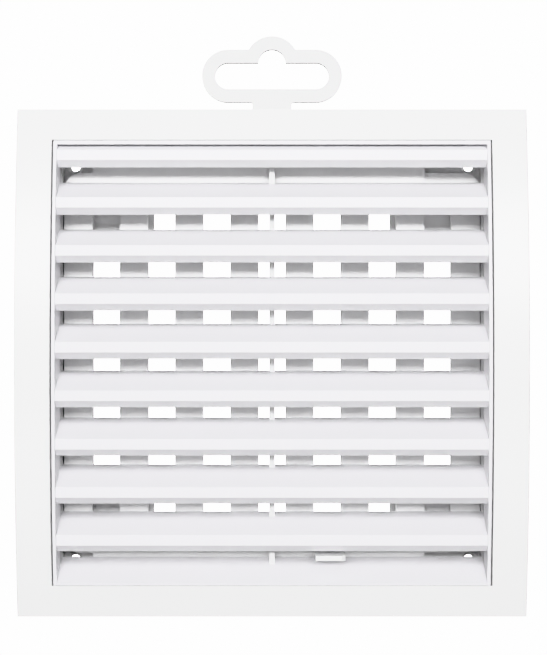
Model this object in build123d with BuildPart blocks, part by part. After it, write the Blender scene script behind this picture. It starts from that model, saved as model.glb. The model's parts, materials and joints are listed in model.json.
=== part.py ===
"""Louvred ventilation grille with a sliding shutter, for a 125 mm duct.

The row frame has its origin on the wall, at the centre of the face. +Z is up, +X is to the
right of somebody who looks at the grille, and the face looks along -Y. Millimetres.
"""

import os
from math import sqrt

from build123d import *

os.makedirs("parts", exist_ok=True)

# Face and depth
FACE_WIDTH = 150.0
FACE_HEIGHT = 149.4
DEPTH = 20.5  # from the wall to the middle of the bowed face
BOW_RADIUS = 560.0  # the face is part of a cylinder about a horizontal axis
FACE_SKIN = 1.8
SKIRT = 1.6
OPENING_WIDTH = 129.0
OPENING_HEIGHT = 130.7
EDGE_ROUND = 0.4
SEAM_ROUND = 0.2

# Base: the well behind the opening, and the plate on the wall
WELL_WALL = 1.5
REAR_PLATE = 2.0
LEDGE_WIDTH = 1.3  # upright ledges on the well's sides, beside the slotted plate
LEDGE_FRONT = DEPTH - 15.3
DUCT_CORE = (72.0, 100.0)  # tall middle part of the stepped opening
DUCT_WING = (110.4, 63.0)  # wide middle part of the stepped opening
DUCT_ROUND = 2.0
SCREW_SPACING = 120.0
SCREW_RADIUS = 1.4
SCREW_HEAD_RADIUS = 2.3

# Hanging tab on the upper edge
TAB_THICKNESS = 1.5
TAB_RING = 4.0
TAB_SLOT = (33.3, 7.6)
TAB_SLOT_Z = 84.4
TAB_HUMP_Z = 88.2
TAB_HUMP_RADIUS = 3.95
TAB_NECK = 11.6
TAB_CORNER = 0.5

# Slotted plate and shutter
SLOT_PITCH = 16.68
SLOT_COUNT = 7
SLOT_WIDTH = 8.1
SLOT_HEIGHT = 99.0
SLOT_ROUND = 0.5
PLATE_WIDTH = 125.9
PLATE_HEIGHT = 115.0
PLATE_CORNER = 5.0
PLATE_FRONT = DEPTH - 15.8  # distance of its front from the wall
PLATE_THICKNESS = 1.5
SPACER = (100.0, 3.0)
SPACER_Z = 54.0
SHUTTER_GAP = 0.3
SHUTTER_THICKNESS = 1.2
SHUTTER_BAR = 8.54
SHUTTER_HEIGHT = 122.0
SHUTTER_NOTCH_HEIGHT = 114.6  # height of the end that passes between the screws
SHUTTER_NOTCH = 8.65  # length of that end
SHUTTER_SHIFT = SLOT_PITCH / 2  # travel from open to closed

# Guides that hold the shutter's long edges
GUIDE_LENGTH = 100.0
GUIDE_WEB = 1.5
GUIDE_LIP = 0.7
GUIDE_OVERLAP = 0.8
GUIDE_PLAY = 0.4

# Slider tab
SLIDER_X = 17.1
SLIDER_WIDTH = 8.8
SLIDER_TOP = -56.2
SLIDER_THICKNESS = 1.55
SLIDER_FRONT = DEPTH - 1.7
SLIDER_CHAMFER = 1.1

# Louvre insert
INSERT_WIDTH = 128.2
INSERT_HEIGHT = 130.4
RAIL = 1.1
BOTTOM_RAIL = 0.8
RAIL_ROUND = 0.2
INSERT_REAR = DEPTH - 13.1  # distance of its rear edges from the wall
SIDE_RAIL_REAR = DEPTH - 9.4
BLADE_COUNT = 10
BLADE_PITCH = 14.1
FIRST_LIP_Z = 57.38
BLADE_HEIGHT = 10.85
BLADE_WALL = 1.2
NOSE_INSET = 0.3
NOSE_LOW = 2.1  # lower edge of the nose above the lip
NOSE_HIGH = 5.1  # upper edge of the nose above the lip
LIP_SETBACK = 2.0
SLOPE_RUN = 7.0  # depth of the slope behind the nose; the rest of the blade's top is flat
SLOPE_HOLLOW = 0.15
KNEE_DROP = 0.4  # fall of the flat top towards the knee
KNEE_ROUND = 8.0
NOSE_ROUND = 0.3
LIP_ROUND = 0.4
FIRST_BLADE_GAP = 0.25
LAST_BLADE_TOP = -58.2
MULLION = 1.7
MULLION_FRONT = DEPTH - 9.3
MULLION_SPINE = DEPTH - 13.8  # rear of the spine that joins its teeth behind the blades
MULLION_SPINE_TOP = 59.8
MULLION_FOOT = -60.6
CATCH = (0.25, 2.0, 6.0)
CATCH_Z = 40.0
CATCH_FRONT = DEPTH - 6.0


def bow(z):
    """How far the bowed surface has fallen back at height z."""
    return BOW_RADIUS - sqrt(BOW_RADIUS**2 - z**2)


def bowed_y(z, inset=0.0):
    """Y of the bowed face at height z, or of a surface that lies inset behind it."""
    return -DEPTH + inset + bow(z)


def bowed_outline(height, inset, rear_y):
    """Side outline, in Y and Z, of a block with the bowed front and a flat back."""
    top = height / 2
    ThreePointArc((bowed_y(top, inset), -top), (-DEPTH + inset, 0), (bowed_y(top, inset), top))
    Polyline(
        (bowed_y(top, inset), top),
        (rear_y, top),
        (rear_y, -top),
        (bowed_y(top, inset), -top),
    )


def save(piece, name):
    """Labels the piece and writes its STEP file."""
    piece.part.label = name
    export_step(piece.part, f"parts/{name}.step")


# --- bezel: bowed border with a skirt that reaches the wall ---
with BuildPart() as bezel:
    with BuildSketch(Plane.YZ):
        with BuildLine():
            bowed_outline(FACE_HEIGHT, 0, 0)
        make_face()
    extrude(amount=FACE_WIDTH / 2, both=True)
    with BuildSketch(Plane.YZ):
        with BuildLine():
            bowed_outline(FACE_HEIGHT - 2 * SKIRT, FACE_SKIN, 0)
        make_face()
    extrude(amount=FACE_WIDTH / 2 - SKIRT, both=True, mode=Mode.SUBTRACT)
    with BuildSketch(Plane.XZ):
        Rectangle(OPENING_WIDTH, OPENING_HEIGHT)
    extrude(amount=DEPTH, mode=Mode.SUBTRACT)
    front_face = bezel.faces().sort_by(Axis.Y)[0]
    fillet(front_face.outer_wire().edges(), EDGE_ROUND)
    front_face = bezel.faces().sort_by(Axis.Y)[0]
    fillet(front_face.inner_wires()[0].edges(), SEAM_ROUND)
    # The rounded edge stops at the hanging tab's root, so the tab runs on into the face.
    root_low = FACE_HEIGHT / 2 - 2 * EDGE_ROUND
    root_high = FACE_HEIGHT / 2
    with BuildSketch(Plane.YZ):
        with BuildLine():
            Polyline(
                (bowed_y(root_low), root_low),
                (bowed_y(root_high), root_high),
                (bowed_y(root_high, FACE_SKIN), root_high),
                (bowed_y(root_low, FACE_SKIN), root_low),
                close=True,
            )
        make_face()
    extrude(amount=TAB_NECK / 2, both=True)
save(bezel, "bezel")

# --- hang tab: euro-hook loop on the bezel's upper edge ---
tab_front = bowed_y(FACE_HEIGHT / 2)
with BuildPart() as hang_tab:
    with BuildSketch(Plane.XZ.offset(-tab_front)) as tab_outline:
        with Locations((0, TAB_SLOT_Z)):
            SlotOverall(TAB_SLOT[0] + 2 * TAB_RING, TAB_SLOT[1] + 2 * TAB_RING)
        with Locations((0, TAB_HUMP_Z)):
            Circle(TAB_HUMP_RADIUS + TAB_RING)
        neck_top = TAB_SLOT_Z - TAB_SLOT[1] / 2
        with Locations((0, FACE_HEIGHT / 2)):
            Rectangle(TAB_NECK, neck_top - FACE_HEIGHT / 2, align=(Align.CENTER, Align.MIN))
        neck_corners = tab_outline.vertices().filter_by_position(
            Axis.Y, FACE_HEIGHT / 2 + 1, neck_top - 1
        )
        fillet(neck_corners, TAB_CORNER)
        with Locations((0, TAB_SLOT_Z)):
            SlotOverall(*TAB_SLOT, mode=Mode.SUBTRACT)
        with Locations((0, TAB_HUMP_Z)):
            Circle(TAB_HUMP_RADIUS, mode=Mode.SUBTRACT)
    extrude(amount=-TAB_THICKNESS)
save(hang_tab, "hang_tab")

# --- inner frame: well wall between the bezel and the rear plate, with a ledge on each side ---
with BuildPart() as inner_frame:
    with BuildSketch(Plane.YZ):
        with BuildLine():
            bowed_outline(OPENING_HEIGHT + 2 * WELL_WALL, FACE_SKIN, -REAR_PLATE)
        make_face()
    extrude(amount=OPENING_WIDTH / 2 + WELL_WALL, both=True)
    with BuildSketch(Plane.XZ):
        Rectangle(OPENING_WIDTH, OPENING_HEIGHT)
    extrude(amount=DEPTH, mode=Mode.SUBTRACT)
    with BuildSketch(Plane.XZ.offset(REAR_PLATE)):
        with GridLocations(OPENING_WIDTH - LEDGE_WIDTH, 0, 2, 1):
            Rectangle(LEDGE_WIDTH, OPENING_HEIGHT)
    extrude(amount=LEDGE_FRONT - REAR_PLATE)
save(inner_frame, "inner_frame")

# --- rear plate: lies on the wall, with the duct opening and four countersunk holes ---
with BuildPart() as rear_plate:
    with BuildSketch(Plane.XZ):
        Rectangle(FACE_WIDTH - 2 * SKIRT, FACE_HEIGHT - 2 * SKIRT)
    extrude(amount=REAR_PLATE)
    with BuildSketch(Plane.XZ) as duct_opening:
        Rectangle(*DUCT_CORE)
        Rectangle(*DUCT_WING)
        fillet(duct_opening.vertices(), DUCT_ROUND)
    extrude(amount=REAR_PLATE, mode=Mode.SUBTRACT)
    with Locations(Plane.XZ.offset(REAR_PLATE)):
        with GridLocations(SCREW_SPACING, SCREW_SPACING, 2, 2):
            CounterSinkHole(SCREW_RADIUS, SCREW_HEAD_RADIUS, REAR_PLATE)
save(rear_plate, "rear_plate")

# --- plate spacers: two bars that carry the slotted plate on the rear plate ---
with BuildPart() as plate_spacers:
    with BuildSketch(Plane.XZ.offset(REAR_PLATE)):
        with GridLocations(0, 2 * SPACER_Z, 1, 2):
            Rectangle(*SPACER)
    extrude(amount=PLATE_FRONT - PLATE_THICKNESS - REAR_PLATE)
save(plate_spacers, "plate_spacers")

# --- slotted plate: fixed, its slots are opened and closed by the shutter ---
with BuildPart() as slotted_plate:
    with BuildSketch(Plane.XZ.offset(PLATE_FRONT)):
        RectangleRounded(PLATE_WIDTH, PLATE_HEIGHT, PLATE_CORNER)
        with GridLocations(SLOT_PITCH, 0, SLOT_COUNT, 1):
            RectangleRounded(SLOT_WIDTH, SLOT_HEIGHT, SLOT_ROUND, mode=Mode.SUBTRACT)
    extrude(amount=-PLATE_THICKNESS)
save(slotted_plate, "slotted_plate")

# --- shutter plate: the same slots, half a pitch off when it is closed ---
shutter_rear = PLATE_FRONT + SHUTTER_GAP
shutter_front = shutter_rear + SHUTTER_THICKNESS
shutter_width = (SLOT_COUNT - 1) * SLOT_PITCH + SHUTTER_BAR
shutter_centre = -SHUTTER_SHIFT
shutter_right = shutter_centre + shutter_width / 2
with BuildPart() as shutter_plate:
    with BuildSketch(Plane.XZ.offset(shutter_rear)) as shutter_outline:
        with Locations((shutter_right, 0)):
            Rectangle(
                shutter_width - SHUTTER_NOTCH,
                SHUTTER_HEIGHT,
                align=(Align.MAX, Align.CENTER),
            )
            Rectangle(shutter_width, SHUTTER_NOTCH_HEIGHT, align=(Align.MAX, Align.CENTER))
        notch_corners = shutter_outline.vertices().sort_by(Axis.X)[:2]
        fillet(notch_corners, PLATE_CORNER)
        with Locations((shutter_centre, 0)):
            with GridLocations(SLOT_PITCH, 0, SLOT_COUNT - 1, 1):
                RectangleRounded(
                    SLOT_PITCH - SHUTTER_BAR, SLOT_HEIGHT, SLOT_ROUND, mode=Mode.SUBTRACT
                )
    extrude(amount=SHUTTER_THICKNESS)
save(shutter_plate, "shutter_plate")

# --- slider tab: thumb piece that stands out between the last two blades ---
with BuildPart() as slider_tab:
    with BuildSketch(Plane.XZ.offset(shutter_front)):
        with Locations((SLIDER_X, SLIDER_TOP)):
            Rectangle(SLIDER_WIDTH, SLIDER_THICKNESS, align=(Align.CENTER, Align.MAX))
    extrude(amount=SLIDER_FRONT - shutter_front)
    front_uprights = slider_tab.edges().filter_by(Axis.Z).group_by(Axis.Y)[0]
    chamfer(front_uprights.sort_by(Axis.X)[-1], SLIDER_CHAMFER)
    fillet(slider_tab.faces().sort_by(Axis.Y)[0].edges(), RAIL_ROUND)
save(slider_tab, "slider_tab")

# --- shutter guides: a web outside each long edge, and a lip in front of it ---
guide_web_z = SHUTTER_HEIGHT / 2 + GUIDE_PLAY
guide_lip_z = SHUTTER_HEIGHT / 2 - GUIDE_OVERLAP
guide_lip_rear = -(shutter_front + SHUTTER_GAP)
guide_front = guide_lip_rear - GUIDE_LIP
for name, side in (("shutter_guide_top", 1), ("shutter_guide_bottom", -1)):
    with BuildPart() as guide:
        with BuildSketch(Plane.YZ):
            with BuildLine():
                Polyline(
                    (-REAR_PLATE, side * guide_web_z),
                    (guide_lip_rear, side * guide_web_z),
                    (guide_lip_rear, side * guide_lip_z),
                    (guide_front, side * guide_lip_z),
                    (guide_front, side * (guide_web_z + GUIDE_WEB)),
                    (-REAR_PLATE, side * (guide_web_z + GUIDE_WEB)),
                    close=True,
                )
            make_face()
        extrude(amount=GUIDE_LENGTH / 2, both=True)
    save(guide, name)

# --- louvre insert: side rails, top rail and bottom rail ---
insert_top = INSERT_HEIGHT / 2
blade_half_width = INSERT_WIDTH / 2 - RAIL
for name, rail_plane in (
    ("side_rail_left", Plane.YZ.offset(-INSERT_WIDTH / 2)),
    ("side_rail_right", Plane.YZ.offset(blade_half_width)),
):
    with BuildPart() as side_rail:
        with BuildSketch(rail_plane):
            with BuildLine():
                bowed_outline(INSERT_HEIGHT, 0, -SIDE_RAIL_REAR)
            make_face()
        extrude(amount=RAIL)
        fillet(side_rail.edges().filter_by(GeomType.CIRCLE), RAIL_ROUND)
    save(side_rail, name)

for name, low, high in (
    ("top_rail", insert_top - RAIL, insert_top),
    ("bottom_rail", -insert_top, -insert_top + BOTTOM_RAIL),
):
    with BuildPart() as cross_rail:
        with BuildSketch(Plane.YZ):
            with BuildLine():
                Polyline(
                    (bowed_y(low), low),
                    (bowed_y(high), high),
                    (-INSERT_REAR, high),
                    (-INSERT_REAR, low),
                    close=True,
                )
            make_face()
        extrude(amount=blade_half_width, both=True)
    save(cross_rail, name)


# --- louvre blades: flat top, hollow slope, an upright nose and a lip turned back under it ---
def knee_point(rear_z, front):
    """Where the flat top of a blade ends and its slope begins, in Y and Z."""
    return front[0] + SLOPE_RUN, rear_z - KNEE_DROP


def blade_wall(rear_z, front, *rest):
    """Outline of a wall: the flat top to the knee, the slope to the front, then the rest."""
    knee = knee_point(rear_z, front)
    Line((-INSERT_REAR, rear_z), knee)
    SagittaArc(knee, front, SLOPE_HOLLOW)
    if rest:
        Polyline(front, *rest)
    offset(amount=BLADE_WALL, side=Side.LEFT, kind=Kind.INTERSECTION)


def knee_edge(blade, rear_z, front):
    """The blade's edge along the knee."""
    return blade.edges().filter_by(Axis.X).sort_by_distance((0, *knee_point(rear_z, front)))[0]


blades = []
for index in range(BLADE_COUNT - 1):
    lip_z = FIRST_LIP_Z - index * BLADE_PITCH
    rear_z = lip_z + BLADE_HEIGHT
    nose_y = bowed_y(lip_z + (NOSE_LOW + NOSE_HIGH) / 2, NOSE_INSET)
    nose_top = (nose_y, lip_z + NOSE_HIGH)
    with BuildPart() as blade:
        with BuildSketch(Plane.YZ):
            with BuildLine():
                blade_wall(
                    rear_z,
                    nose_top,
                    (nose_y, lip_z + NOSE_LOW),
                    (nose_y + LIP_SETBACK, lip_z),
                )
            make_face()
        extrude(amount=blade_half_width, both=True)
        fillet(knee_edge(blade, rear_z, nose_top), KNEE_ROUND)
        nose = blade.edges().filter_by(Axis.X).group_by(Axis.Y)[0]
        fillet(nose, NOSE_ROUND)
        lip = blade.edges().filter_by(Axis.X).sort_by(Axis.Z)[:2]
        fillet(lip, LIP_ROUND)
        if index == 0:
            # The first blade ends just below the top rail, with a flat web back to the rear.
            blade_top = insert_top - RAIL - FIRST_BLADE_GAP
            split(bisect_by=Plane.XY.offset(blade_top), keep=Keep.BOTTOM)
            slope_y = blade.vertices().group_by(Axis.Z)[-1].sort_by(Axis.Y)[0].Y
            with BuildSketch(Plane.XY.offset(blade_top)):
                with Locations((0, slope_y + BLADE_WALL / 2)):
                    Rectangle(
                        2 * blade_half_width,
                        -INSERT_REAR - slope_y - BLADE_WALL / 2,
                        align=(Align.CENTER, Align.MIN),
                    )
            extrude(amount=-BLADE_WALL)
    save(blade, f"louvre_blade_{index + 1:02d}")
    blades.append(blade.part)

with BuildPart() as last_blade:
    last_front_z = -insert_top + BOTTOM_RAIL
    last_front = (bowed_y(last_front_z), last_front_z)
    with BuildSketch(Plane.YZ):
        with BuildLine():
            blade_wall(LAST_BLADE_TOP, last_front)
        make_face()
    extrude(amount=blade_half_width, both=True)
    fillet(knee_edge(last_blade, LAST_BLADE_TOP, last_front), KNEE_ROUND)
    split(bisect_by=Plane.XY.offset(last_front_z), keep=Keep.TOP)
save(last_blade, f"louvre_blade_{BLADE_COUNT:02d}")
blades.append(last_blade.part)

# --- mullion: upright rib in the middle that ties the blades together ---
last_knee_y = knee_point(LAST_BLADE_TOP, last_front)[0]
with BuildPart() as mullion:
    with BuildSketch(Plane.YZ):
        with BuildLine():
            Polyline(
                (-MULLION_FRONT, MULLION_FOOT),
                (-MULLION_FRONT, blade_top - BLADE_WALL),
                (-INSERT_REAR, blade_top - BLADE_WALL),
                (-INSERT_REAR, MULLION_SPINE_TOP),
                (-MULLION_SPINE, MULLION_SPINE_TOP),
                (-MULLION_SPINE, LAST_BLADE_TOP - BLADE_WALL / 2),
                (last_knee_y, LAST_BLADE_TOP - BLADE_WALL / 2),
                close=True,
            )
        make_face()
    extrude(amount=MULLION / 2, both=True)
    for blade_part in blades:
        add(blade_part, mode=Mode.SUBTRACT)
save(mullion, "mullion")

# --- snap catches: small ramps outside the side rails that hold the insert in the base ---
with BuildPart() as snap_catches:
    for side in (1, -1):
        rail_face = side * INSERT_WIDTH / 2
        for catch_z in (CATCH_Z, -CATCH_Z):
            with BuildSketch(Plane.XY.offset(catch_z - CATCH[2] / 2)):
                with BuildLine():
                    Polyline(
                        (rail_face, -CATCH_FRONT),
                        (rail_face + side * CATCH[0], -CATCH_FRONT + CATCH[1] / 2),
                        (rail_face, -CATCH_FRONT + CATCH[1]),
                        close=True,
                    )
                make_face()
            extrude(amount=CATCH[2])
save(snap_catches, "snap_catches")
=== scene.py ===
"""Louvred air grille on a plain pale sweep, seen square-on by the camera.

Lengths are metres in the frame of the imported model: +Z up, the grille faces -Y, the wall is Y = 0.
"""

import json
from math import cos, radians, sin

import bmesh
import bpy
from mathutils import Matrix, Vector


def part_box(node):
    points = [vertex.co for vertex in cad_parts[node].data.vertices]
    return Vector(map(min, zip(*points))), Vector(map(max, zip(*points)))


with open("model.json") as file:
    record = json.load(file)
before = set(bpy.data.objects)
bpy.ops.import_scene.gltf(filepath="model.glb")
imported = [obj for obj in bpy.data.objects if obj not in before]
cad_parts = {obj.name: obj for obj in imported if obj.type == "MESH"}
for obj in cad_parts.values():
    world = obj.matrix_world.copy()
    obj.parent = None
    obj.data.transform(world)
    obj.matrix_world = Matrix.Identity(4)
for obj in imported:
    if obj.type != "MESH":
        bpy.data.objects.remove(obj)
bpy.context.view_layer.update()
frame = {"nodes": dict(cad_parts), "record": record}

scene = bpy.context.scene
scene.view_settings.view_transform = "Khronos PBR Neutral"

FACE_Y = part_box("bezel")[0].y  # front of the bowed face

# Camera: level with the grille's middle, straight in front of it
CAMERA_DISTANCE = 0.350
FOCAL_PER_FRAME = 1.844  # focal length as a share of the frame's long side
SENSOR = 36.0
SHIFT = (0.0023, 0.0542)
CLIP = (0.01, 20.0)


def make_camera():
    data = bpy.data.cameras.new("camera")
    data.sensor_width = SENSOR
    data.sensor_fit = "AUTO"
    data.lens = FOCAL_PER_FRAME * SENSOR
    data.shift_x, data.shift_y = SHIFT
    data.clip_start, data.clip_end = CLIP
    camera = bpy.data.objects.new("camera", data)
    scene.collection.objects.link(camera)
    camera.location = (0.0, FACE_Y - CAMERA_DISTANCE, 0.0)
    camera.rotation_euler = (radians(90), 0, 0)
    scene.camera = camera


# Lights: name, azimuth and elevation seen from the grille (0, 0 is the camera's side), distance,
# width, height and power in watts. The key stands just above the camera's level, so that it
# reaches into the gaps between the blades, and the back lights are for the sides and the back.
LIGHTS = (
    ("key", 0, 13, 1.6, 1.2, 0.26, 19.5),
    ("top", 0, 40, 1.6, 1.2, 0.5, 5.6),
    ("low", 0, -13, 1.4, 1.2, 0.3, 2.2),
    ("left", -40, 10, 1.5, 0.5, 0.5, 2.2),
    ("right", 40, 10, 1.5, 0.5, 0.5, 1.6),
    ("back_left", -125, 20, 1.6, 0.8, 0.8, 11.5),
    ("back_right", 125, 20, 1.6, 0.8, 0.8, 11.5),
)
WORLD_STRENGTH = 0.18


def make_lights():
    for name, azimuth, elevation, distance, width, height, power in LIGHTS:
        data = bpy.data.lights.new(name, "AREA")
        data.shape = "RECTANGLE"
        data.size = width
        data.size_y = height
        data.energy = power
        lamp = bpy.data.objects.new(name, data)
        scene.collection.objects.link(lamp)
        away = Vector((
            sin(radians(azimuth)) * cos(radians(elevation)),
            -cos(radians(azimuth)) * cos(radians(elevation)),
            sin(radians(elevation)),
        ))
        lamp.location = away * distance
        lamp.rotation_euler = away.to_track_quat("Z", "Y").to_euler()
        lamp.visible_camera = False
    world = bpy.data.worlds.new("studio")
    world.use_nodes = True
    background = world.node_tree.nodes["Background"]
    background.inputs["Color"].default_value = (1.0, 1.0, 1.0, 1.0)
    background.inputs["Strength"].default_value = WORLD_STRENGTH
    scene.world = world


# Cyclorama: a round floor that curves up into a wall all the way round
FLOOR_Z = -1.20
WALL_RADIUS = 5.8
WALL_TOP = 8.0
COVE_RADIUS = 0.9
COVE_STEPS = 16
ROUND_STEPS = 96
PAPER = (0.86, 0.86, 0.87)
PAPER_ROUGHNESS = 0.9
FLOOR_GLOW = 0.62
WALL_GLOW = 7.0
GLOW_RISE = (3.9, 4.6)  # distances from the middle between which the floor's glow rises to the wall's


def cyclorama_paper():
    """Matt pale paper that is evenly bright, and whiter towards the wall."""
    material = bpy.data.materials.new("cyclorama_paper")
    material.use_nodes = True
    nodes, links = material.node_tree.nodes, material.node_tree.links
    shader = nodes["Principled BSDF"]
    shader.inputs["Base Color"].default_value = (*PAPER, 1)
    shader.inputs["Roughness"].default_value = PAPER_ROUGHNESS
    shader.inputs["Emission Color"].default_value = (1, 1, 1, 1)
    place = nodes.new("ShaderNodeNewGeometry")
    level = nodes.new("ShaderNodeVectorMath")
    level.operation = "MULTIPLY"
    level.inputs[1].default_value = (1, 1, 0)
    distance = nodes.new("ShaderNodeVectorMath")
    distance.operation = "LENGTH"
    glow = nodes.new("ShaderNodeMapRange")
    glow.interpolation_type = "SMOOTHSTEP"
    glow.inputs["From Min"].default_value, glow.inputs["From Max"].default_value = GLOW_RISE
    glow.inputs["To Min"].default_value = FLOOR_GLOW
    glow.inputs["To Max"].default_value = WALL_GLOW
    links.new(place.outputs["Position"], level.inputs[0])
    links.new(level.outputs["Vector"], distance.inputs[0])
    links.new(distance.outputs["Value"], glow.inputs["Value"])
    links.new(glow.outputs["Result"], shader.inputs["Emission Strength"])
    return material


def make_cyclorama():
    profile = [(0.0, FLOOR_Z)]
    for step in range(COVE_STEPS + 1):
        turn = radians(90.0 * step / COVE_STEPS)
        profile.append((
            WALL_RADIUS - COVE_RADIUS + COVE_RADIUS * sin(turn),
            FLOOR_Z + COVE_RADIUS * (1 - cos(turn)),
        ))
    profile.append((WALL_RADIUS, WALL_TOP))
    mesh = bmesh.new()
    points = [mesh.verts.new((radius, 0, z)) for radius, z in profile]
    line = [mesh.edges.new(pair) for pair in zip(points, points[1:])]
    bmesh.ops.spin(
        mesh, geom=points + line, axis=(0, 0, 1), cent=(0, 0, 0), angle=radians(360),
        steps=ROUND_STEPS,
    )
    bmesh.ops.remove_doubles(mesh, verts=mesh.verts, dist=1e-5)
    for face in mesh.faces:
        face.smooth = True
    data = bpy.data.meshes.new("cyclorama")
    mesh.to_mesh(data)
    mesh.free()
    cyclorama = bpy.data.objects.new("cyclorama", data)
    scene.collection.objects.link(cyclorama)
    # It is a plain ground for the picture: its glow doesn't light the grille.
    cyclorama.visible_diffuse = False
    cyclorama.visible_glossy = False
    data.materials.append(cyclorama_paper())


# White moulded plastic. A scale is a noise pattern's, per metre, and a detail is its octaves.
IOR = 1.5
CLOUD_SCALE = 26.0
CLOUD_DETAIL = 3.0
CLOUD_SPREAD = (0.3, 0.7)
CLOUD_DARKENING = 0.985
FLOW_SCALE = 90.0
FLOW_DETAIL = 2.0
FLOW_STRETCH = (0.25, 1.0, 1.0)  # under 1 along X, so the marks are long in that direction
FLOW_MARKS = 0.03  # how far the roughness drifts either way
GRAIN_DETAIL = 3.0
GRAIN_STRENGTH = 0.12


def plastic(name, tone, roughness, grain, depth):
    """Slightly cloudy tone, soft flow marks in the gloss, and a fine grain depth metres deep."""
    material = bpy.data.materials.new(name)
    material.use_nodes = True
    nodes, links = material.node_tree.nodes, material.node_tree.links
    shader = nodes["Principled BSDF"]
    shader.inputs["IOR"].default_value = IOR
    place = nodes.new("ShaderNodeTexCoord")

    # Cloudy tone, in places a little darker
    cloud = nodes.new("ShaderNodeTexNoise")
    cloud.inputs["Scale"].default_value = CLOUD_SCALE
    cloud.inputs["Detail"].default_value = CLOUD_DETAIL
    tint = nodes.new("ShaderNodeValToRGB")
    darker, lighter = tint.color_ramp.elements
    darker.position, lighter.position = CLOUD_SPREAD
    darker.color = (*[part * CLOUD_DARKENING for part in tone], 1)
    lighter.color = (*tone, 1)
    links.new(place.outputs["Object"], cloud.inputs["Vector"])
    links.new(cloud.outputs["Fac"], tint.inputs["Fac"])
    links.new(tint.outputs["Color"], shader.inputs["Base Color"])

    # Gloss that drifts in long streaks
    stretch = nodes.new("ShaderNodeMapping")
    stretch.inputs["Scale"].default_value = FLOW_STRETCH
    flow = nodes.new("ShaderNodeTexNoise")
    flow.inputs["Scale"].default_value = FLOW_SCALE
    flow.inputs["Detail"].default_value = FLOW_DETAIL
    links.new(place.outputs["Object"], stretch.inputs["Vector"])
    links.new(stretch.outputs["Vector"], flow.inputs["Vector"])
    polish = nodes.new("ShaderNodeMapRange")
    polish.inputs["To Min"].default_value = roughness - FLOW_MARKS
    polish.inputs["To Max"].default_value = roughness + FLOW_MARKS
    links.new(flow.outputs["Fac"], polish.inputs["Value"])
    links.new(polish.outputs["Result"], shader.inputs["Roughness"])

    # Fine moulded grain
    skin = nodes.new("ShaderNodeTexNoise")
    skin.inputs["Scale"].default_value = grain
    skin.inputs["Detail"].default_value = GRAIN_DETAIL
    links.new(place.outputs["Object"], skin.inputs["Vector"])
    bump = nodes.new("ShaderNodeBump")
    bump.inputs["Strength"].default_value = GRAIN_STRENGTH
    bump.inputs["Distance"].default_value = depth
    links.new(skin.outputs["Fac"], bump.inputs["Height"])
    links.new(bump.outputs["Normal"], shader.inputs["Normal"])
    return material


WHITE = (0.885, 0.885, 0.885)
COOL_WHITE = (0.862, 0.856, 0.876)
# A darker copy of the white for the hanging tab and the mullion: painted shade.
SHADED_WHITE = (0.80, 0.80, 0.80)
FINISHES = {
    "bezel_plastic": plastic(
        "bezel_plastic", WHITE, roughness=0.24, grain=1400.0, depth=0.00001
    ),
    "louvre_plastic": plastic(
        "louvre_plastic", COOL_WHITE, roughness=0.30, grain=1700.0, depth=0.00001
    ),
    "shutter_plastic": plastic(
        "shutter_plastic", WHITE, roughness=0.36, grain=1500.0, depth=0.00002
    ),
    "base_plastic": plastic(
        "base_plastic", WHITE, roughness=0.36, grain=1300.0, depth=0.00002
    ),
}
# The hanging tab and the mullion are rougher than the other pieces of their slots, and their darker
# white is painted shade.
MATT_AND_SHADED_FINISHES = {
    "hang_tab": plastic(
        "tab_plastic", SHADED_WHITE, roughness=0.55, grain=1100.0, depth=0.00002
    ),
    "mullion": plastic(
        "mullion_plastic", SHADED_WHITE, roughness=0.50, grain=1100.0, depth=0.00002
    ),
}


def dress_nodes():
    slots = {row["node"]: row["material_slot"] for row in frame["record"]["subparts"]}
    for name, node in frame["nodes"].items():
        node.data.materials.clear()
        node.data.materials.append(MATT_AND_SHADED_FINISHES.get(name, FINISHES[slots[name]]))


make_camera()
make_lights()
make_cyclorama()
dress_nodes()
